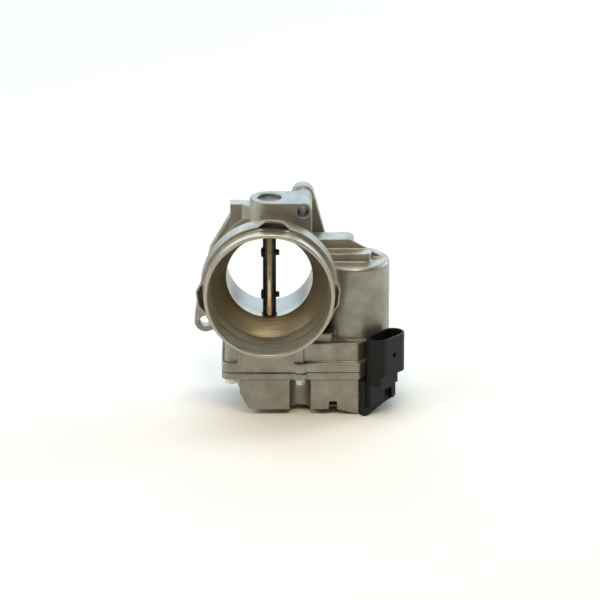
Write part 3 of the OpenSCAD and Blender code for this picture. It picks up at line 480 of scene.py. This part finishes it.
# the legs of the inner three
work = bmesh.new()
for along in steps_along[1:-1]:
    add_bar(work, [[turned_plug @ Vector((along + x * PIN_W / 2, y, pins_low.z + z * PIN_T))
                    for x, z in ((-1, 0), (1, 0), (1, 1), (-1, 1))] for y in (LEG_START, LEG_END)])
bmesh.ops.recalc_face_normals(work, faces=work.faces)
work.from_mesh(pins.data)
work.to_mesh(pins.data)
work.free()
sharpen(pins)
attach(pins, "housing")
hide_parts("connector_pins")


# ---- Shaft plug ---------------------------------------------------------------------------
# A cup pressed from sheet steel, with a rolled rim and a shallow dish. It is driven into the bearing
# bore above the shaft, a little below the block's top, and closes it.
plug_low, plug_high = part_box("shaft_plug")
plug_r = plug_high.x
# each ring of the rim: how far in from the edge, and how far below the top
rolled_rim = [(0, 0.0004), (0.0002, 0.0001), (0.0006, 0), (0.0011, 0.0001), (0.0016, 0.0004),
              (0.0021, 0.0005)]
cup_rings = [(0, plug_low.z), (plug_r - 0.0003, plug_low.z), (plug_r, plug_low.z + 0.0003)]
cup_rings += [(plug_r - inwards, plug_high.z - down) for inwards, down in rolled_rim]
cup_rings += [(0, plug_high.z - 0.0005)]
cup = ringed_mesh("shaft_plug.cup", cup_rings, 96)
cup.transform(Matrix.Translation((0, plug_low.y / 2 + plug_high.y / 2, 0)))
pressed_steel = plated("pressed steel", (0.14, 0.136, 0.118), (0.22, 0.215, 0.19), 0.3)
cup_piece = dress(sharpen(new_piece("shaft_plug.cup", cup)), pressed_steel)
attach(cup_piece, "housing")
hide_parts("shaft_plug")


# ---- Throttle shaft and plate -------------------------------------------------------------
# The shaft is ground steel, slotted for the plate. The plate is blanked from brass strip and its rim
# is turned round.
def ground_steel():
    s = Shading("ground shaft steel")
    x, y, z = s.parts()
    lines = s.node("ShaderNodeCombineXYZ", {"X": s.math("MULTIPLY", x, 500),
                                            "Y": s.math("MULTIPLY", y, 500),
                                            "Z": s.math("MULTIPLY", z, 9000)}).outputs[0]
    fine = s.noise(1.0, 3, 0.6, lines)
    oil = s.noise(180, 3)
    colour = s.mix(s.ramp(oil, 0.35, 0.7), (0.085, 0.085, 0.075), (0.15, 0.148, 0.13))
    return s.finish(colour, s.ramp(fine, 0.3, 0.7, 0.26, 0.38), fine, 0.00003, metallic=1.0)


def plate_brass():
    s = Shading("plate brass")
    x, y, z = s.parts()
    lines = s.node("ShaderNodeCombineXYZ", {"X": s.math("MULTIPLY", x, 700),
                                            "Y": s.math("MULTIPLY", y, 700),
                                            "Z": s.math("MULTIPLY", z, 90)}).outputs[0]
    brush = s.noise(1.0, 4, 0.6, lines)
    stain = s.noise(120, 3)
    colour = s.mix(s.ramp(brush, 0.3, 0.7), (0.60, 0.49, 0.31), (0.82, 0.73, 0.54))
    colour = s.mix(s.ramp(stain, 0.45, 0.75, 0, 0.6), colour, (0.36, 0.25, 0.12))
    return s.finish(colour, s.ramp(brush, 0.3, 0.7, 0.34, 0.48), brush, 0.00003, metallic=0.9)


SHAFT_Y = -0.025
dress(nodes["throttle_shaft"], ground_steel())
plate_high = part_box("throttle_plate")[1]
plate_r, half = plate_high.z, plate_high.x
RIM_SHARE = 0.55  # the rim's rounding, as a share of half the plate's thickness
rim = [(plate_r - half * RIM_SHARE * (1 - math.cos(math.radians(a))), half * math.sin(math.radians(a)))
       for a in range(-90, 91, 15)]
disc = ringed_mesh("throttle_plate.disc", [(0, -half)] + rim + [(0, half)], 160)
disc.transform(Matrix.Translation((0, SHAFT_Y, 0)) @ Matrix.Rotation(math.radians(90), 4, "Y"))
plate = dress(sharpen(new_piece("throttle_plate.disc", disc), 50), plate_brass())
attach(plate, "throttle")
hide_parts("throttle_plate")


# ---- Plate screws -------------------------------------------------------------------------
# Two blackened pan-head screws with a hexagon socket go through the shaft and the plate, and their
# ends are staked on the far side.
head_low, head_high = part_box("plate_screws")
HEAD_R, SHANK_R = 0.00285, 0.00174
DOME_H, HEAD_H = 0.00066, 0.00178
KEY_FLAT, KEY_DEPTH, KEY_RIM = 0.00095, 0.0012, 0.0001
STAKED = 0.0004
SCREW_RISE = 0.0129
dome = [(HEAD_R * math.cos(math.radians(a)), DOME_H * math.sin(math.radians(a)))
        for a in range(0, 60, 12)]
pan_rings = [(0, head_low.x + KEY_DEPTH)]
pan_rings += [(hexagon(KEY_FLAT), head_low.x + h) for h in (KEY_DEPTH, KEY_RIM)]
pan_rings += [(r, head_low.x + DOME_H - h) for r, h in reversed(dome)]
pan_rings += [(HEAD_R, head_low.x + HEAD_H), (SHANK_R, head_low.x + HEAD_H + 0.00001),
              (SHANK_R, head_high.x - STAKED), (SHANK_R - STAKED, head_high.x),
              (0.0007, head_high.x), (0, head_high.x - 0.0003)]
pan = ringed_mesh("plate_screw.one", pan_rings, 48)
pan.transform(Matrix.Rotation(math.radians(90), 4, "Y"))
black_steel = plated("blackened steel", (0.03, 0.028, 0.024), (0.08, 0.076, 0.068), 0.36)
plate_screws = copies("plate_screws.set", new_piece("plate_screw.one", pan),
                      [(0, SHAFT_Y, -SCREW_RISE), (0, SHAFT_Y, SCREW_RISE)], black_steel)
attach(plate_screws, "throttle")
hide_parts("plate_screws")


# ---- Return spring ------------------------------------------------------------------------
# Drawn spring wire wound round the shaft's boss.
spring_low, spring_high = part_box("return_spring")
WIRE_R, COILS = 0.00075, 6
STEPS_PER_COIL, STEPS_ROUND_WIRE = 48, 14
spring_tree = bpy.data.node_groups.new("wound spring", "GeometryNodeTree")
spring_ids = {}
face = spring_tree.interface
for label, kind in (("Geometry", "NodeSocketGeometry"), ("Coils", "NodeSocketFloat"),
                    ("Coil radius", "NodeSocketFloat"), ("Height", "NodeSocketFloat"),
                    ("Wire radius", "NodeSocketFloat"), ("Finish", "NodeSocketMaterial")):
    spring_ids[label] = face.new_socket(label, in_out="INPUT", socket_type=kind).identifier
face.new_socket("Geometry", in_out="OUTPUT", socket_type="NodeSocketGeometry")
make, link = spring_tree.nodes.new, spring_tree.links.new
given, result = make("NodeGroupInput"), make("NodeGroupOutput")
helix, ring = make("GeometryNodeCurveSpiral"), make("GeometryNodeCurvePrimitiveCircle")
sweep = make("GeometryNodeCurveToMesh")
real, paint = make("GeometryNodeRealizeInstances"), make("GeometryNodeSetMaterial")
helix.inputs["Resolution"].default_value = STEPS_PER_COIL
ring.inputs["Resolution"].default_value = STEPS_ROUND_WIRE
sweep.inputs["Fill Caps"].default_value = True
link(given.outputs["Coils"], helix.inputs["Rotations"])
link(given.outputs["Coil radius"], helix.inputs["Start Radius"])
link(given.outputs["Coil radius"], helix.inputs["End Radius"])
link(given.outputs["Height"], helix.inputs["Height"])
link(given.outputs["Wire radius"], ring.inputs["Radius"])
link(helix.outputs[0], sweep.inputs["Curve"])
link(ring.outputs[0], sweep.inputs["Profile Curve"])
link(sweep.outputs[0], real.inputs[0])
link(real.outputs[0], paint.inputs["Geometry"])
link(given.outputs["Finish"], paint.inputs["Material"])
link(paint.outputs[0], result.inputs[0])
spring_holder = bpy.data.objects.new("spring.path", bpy.data.meshes.new("spring.path"))
scene.collection.objects.link(spring_holder)
wound = spring_holder.modifiers.new("wound", "NODES")
wound.node_group = spring_tree
drawn_wire = plated("drawn spring wire", (0.13, 0.125, 0.12), (0.24, 0.235, 0.225), 0.3)
spring_height = spring_high.z - spring_low.z - 2 * WIRE_R
for label, value in (("Coils", float(COILS)), ("Coil radius", spring_high.x - WIRE_R),
                     ("Height", spring_height), ("Wire radius", WIRE_R), ("Finish", drawn_wire)):
    wound[spring_ids[label]] = value
spring_mesh = evaluated_mesh(spring_holder)
spring_mesh.transform(Matrix.Translation((0, SHAFT_Y, spring_low.z + WIRE_R)))
spring = dress(sharpen(new_piece("return_spring.wire", spring_mesh)), drawn_wire)
bpy.data.objects.remove(spring_holder)
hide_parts("return_spring")
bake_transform(spring)


# ---- Gears --------------------------------------------------------------------------------
# The sector and the idler are moulded in natural acetal. The pinion is sintered bronze, as are the
# motor's two bearings, and is pressed on the motor's shaft.
def acetal():
    s = Shading("natural acetal")
    flow = s.noise(70, 3)
    fine = s.noise(2200, 2)
    colour = s.mix(s.ramp(flow, 0.3, 0.7), (0.46, 0.41, 0.28), (0.56, 0.52, 0.38))
    return s.finish(colour, s.ramp(flow, 0.3, 0.7, 0.34, 0.48), fine, 0.00002, subsurface_weight=0.08,
                    subsurface_scale=0.002)


acetal_material = acetal()
for name in ("sector_gear", "idler_gear"):
    dress(nodes[name], acetal_material)
bronze = plated("sintered bronze", (0.34, 0.22, 0.09), (0.52, 0.37, 0.18), 0.38, 1400)
for name in ("pinion", "motor_bearings"):
    dress(nodes[name], bronze)


# ---- Bearings and pins --------------------------------------------------------------------
# Ground steel: the throttle shaft's two sleeves, the idler's pin and the motor's shaft. The motor's
# screws and the sprung washer above the motor are plain steel with the same finish.
bearing_steel = plated("bearing steel", (0.30, 0.295, 0.28), (0.46, 0.455, 0.44), 0.22, 900)
for name in ("upper_bearing", "lower_bearing", "idler_pin", "motor_shaft", "motor_screws", "wave_washer"):
    dress(nodes[name], bearing_steel)


# ---- Motor --------------------------------------------------------------------------------
# A brushed motor in a drawn steel can: ferrite magnets, a stacked core wound with enamelled wire, a
# copper commutator and two carbon brushes in the end cap.
def wound_copper():
    s = Shading("enamelled copper wire")
    turns = s.node("ShaderNodeTexWave", {"Vector": s.place, "Scale": 420.0, "Distortion": 0.6,
                                         "Detail": 1.0}, bands_direction="Z").outputs["Fac"]
    tone = s.noise(300, 2)
    colour = s.mix(turns, (0.20, 0.065, 0.02), (0.50, 0.20, 0.08))
    colour = s.mix(s.ramp(tone, 0.4, 0.7, 0, 0.4), colour, (0.34, 0.12, 0.04))
    return s.finish(colour, s.ramp(turns, 0, 1, 0.4, 0.26), turns, 0.0001, metallic=0.8)


def laminations():
    s = Shading("stacked sheet steel")
    sheets = s.node("ShaderNodeTexWave", {"Vector": s.place, "Scale": 314.0, "Distortion": 0.0},
                    bands_direction="Z").outputs["Fac"]
    rust = s.noise(400, 3)
    colour = s.mix(sheets, (0.07, 0.066, 0.062), (0.22, 0.21, 0.20))
    colour = s.mix(s.ramp(rust, 0.6, 0.75, 0, 0.3), colour, (0.14, 0.09, 0.05))
    return s.finish(colour, s.ramp(sheets, 0, 1, 0.5, 0.36), sheets, 0.00006, metallic=0.9)


def powder(name, dark, light, scale, rough):
    """Pressed and sintered powder: magnets, brushes and the moulded chip."""
    s = Shading(name)
    grain = s.noise(scale, 4, 0.7)
    cloud = s.noise(scale / 12, 3)
    colour = s.mix(s.ramp(grain, 0.3, 0.7), dark, light)
    return s.finish(colour, s.ramp(cloud, 0.3, 0.7, rough, rough + 0.15), grain, 0.00005)


dress(nodes["motor_can"],
      plated("zinc coated sheet", (0.42, 0.43, 0.42), (0.58, 0.59, 0.58), 0.3, 260))
dress(nodes["motor_magnets"],
      powder("sintered ferrite", (0.020, 0.020, 0.022), (0.045, 0.045, 0.047), 1200, 0.5))
dress(nodes["motor_brushes"],
      powder("pressed carbon", (0.008, 0.008, 0.008), (0.022, 0.021, 0.020), 1800, 0.45))
dress(nodes["armature_core"], laminations())
dress(nodes["armature_windings"], wound_copper())
dress(nodes["commutator"], plated("turned copper", (0.42, 0.19, 0.09), (0.62, 0.33, 0.19), 0.24, 700))


# ---- Position sensor ----------------------------------------------------------------------
# A small printed board, glass fibre under green lacquer, carries a magnetic sensor chip below the
# magnet that turns with the sector gear.
def solder_mask():
    s = Shading("solder mask")
    tracks = s.node("ShaderNodeTexBrick", {"Vector": s.place, "Scale": 420.0, "Mortar Size": 0.05,
                                           "Color1": (0, 0, 0, 1), "Color2": (0.2, 0.2, 0.2, 1),
                                           "Mortar": (1, 1, 1, 1)}).outputs["Fac"]
    fine = s.noise(900, 3)
    colour = s.mix(tracks, (0.006, 0.045, 0.018), (0.02, 0.10, 0.045))
    return s.finish(colour, s.ramp(fine, 0.3, 0.7, 0.22, 0.36), tracks, 0.00003)


dress(nodes["sensor_board"], solder_mask())
dress(nodes["sensor_chip"],
      powder("chip resin", (0.010, 0.010, 0.011), (0.022, 0.022, 0.023), 2000, 0.4))
dress(nodes["sensor_magnet"],
      powder("pressed magnet", (0.05, 0.05, 0.053), (0.09, 0.09, 0.094), 1500, 0.35))


# ---- Studio -------------------------------------------------------------------------------
# A pale floor, six soft lights aimed at the object, and a room that is bright behind and dim in
# front. The camera looks down from the front through a long lens.
TARGET = Vector((0.01773, -0.025, -0.01664))
FLOOR_GAP, FLOOR_HALF = 0.0002, 4
floor_z = cad_box[0][2] - FLOOR_GAP
floor_mesh = bpy.data.meshes.new("floor")
floor_corners = [(x * FLOOR_HALF, y * FLOOR_HALF, floor_z)
                 for x, y in ((-1, -1), (1, -1), (1, 1), (-1, 1))]
floor_mesh.from_pydata(floor_corners, [], [(0, 1, 2, 3)])
floor = bpy.data.objects.new("floor", floor_mesh)
scene.collection.objects.link(floor)
s = Shading("floor")
dress(floor, s.finish((0.80, 0.79, 0.77), s.ramp(s.noise(30), 0.3, 0.7, 0.8, 0.9)))

world = bpy.data.worlds.new("room")
scene.world = world
world.use_nodes = True
tree = world.node_tree
way = tree.nodes.new("ShaderNodeTexCoord")
axes = tree.nodes.new("ShaderNodeSeparateXYZ")
shade = tree.nodes.new("ShaderNodeValToRGB")
lift = tree.nodes.new("ShaderNodeMapRange")
lift.inputs["From Min"].default_value = -1.0
tree.links.new(way.outputs["Generated"], axes.inputs[0])
tree.links.new(axes.outputs["Y"], lift.inputs["Value"])
tree.links.new(lift.outputs["Result"], shade.inputs["Fac"])
shade.color_ramp.elements[0].color = (0.05, 0.042, 0.030, 1)
shade.color_ramp.elements[1].color = (0.42, 0.53, 0.62, 1)
middle = shade.color_ramp.elements.new(0.5)
middle.color = (0.12, 0.11, 0.095, 1)
tree.links.new(shade.outputs["Color"], tree.nodes["Background"].inputs["Color"])


def softbox(name, place, width, height, power, colour):
    light = bpy.data.lights.new(name, "AREA")
    light.shape = "RECTANGLE"
    light.size = width
    light.size_y = height
    light.energy = power
    light.color = colour
    lamp = bpy.data.objects.new(name, light)
    lamp.location = place
    lamp.rotation_euler = (TARGET - Vector(place)).to_track_quat("-Z", "Y").to_euler()
    scene.collection.objects.link(lamp)


softbox("back wall", (0.0, 1.6, 0.75), 2.6, 1.3, 22, (0.76, 0.90, 1.0))
softbox("overhead", (-0.1, 0.1, 1.3), 1.2, 0.8, 8, (0.92, 0.96, 1.0))
softbox("front top", (0.1, -0.75, 1.15), 0.7, 0.5, 9, (1.0, 0.86, 0.62))
softbox("front left", (-0.9, -0.75, 0.85), 0.5, 0.4, 5, (1.0, 0.90, 0.74))
softbox("left", (-1.2, -0.1, 0.4), 0.5, 0.8, 4.5, (0.90, 0.96, 1.0))
softbox("right", (1.2, 0.60, 0.40), 0.5, 0.8, 10, (0.88, 0.97, 1.0))

LENS = 400
SENSOR = 36
VIEW_WIDTH = 0.3488
tilt = math.radians(20)
camera_data = bpy.data.cameras.new("camera")
camera_data.lens = LENS
camera_data.sensor_width = SENSOR
camera_data.clip_end = 30
camera = bpy.data.objects.new("camera", camera_data)
camera_reach = VIEW_WIDTH * LENS / SENSOR
camera.location = TARGET + camera_reach * Vector((0, -math.cos(tilt), math.sin(tilt)))
camera.rotation_euler = (math.pi / 2 - tilt, 0, 0)
scene.collection.objects.link(camera)
scene.camera = camera
scene.view_settings.view_transform = "Standard"
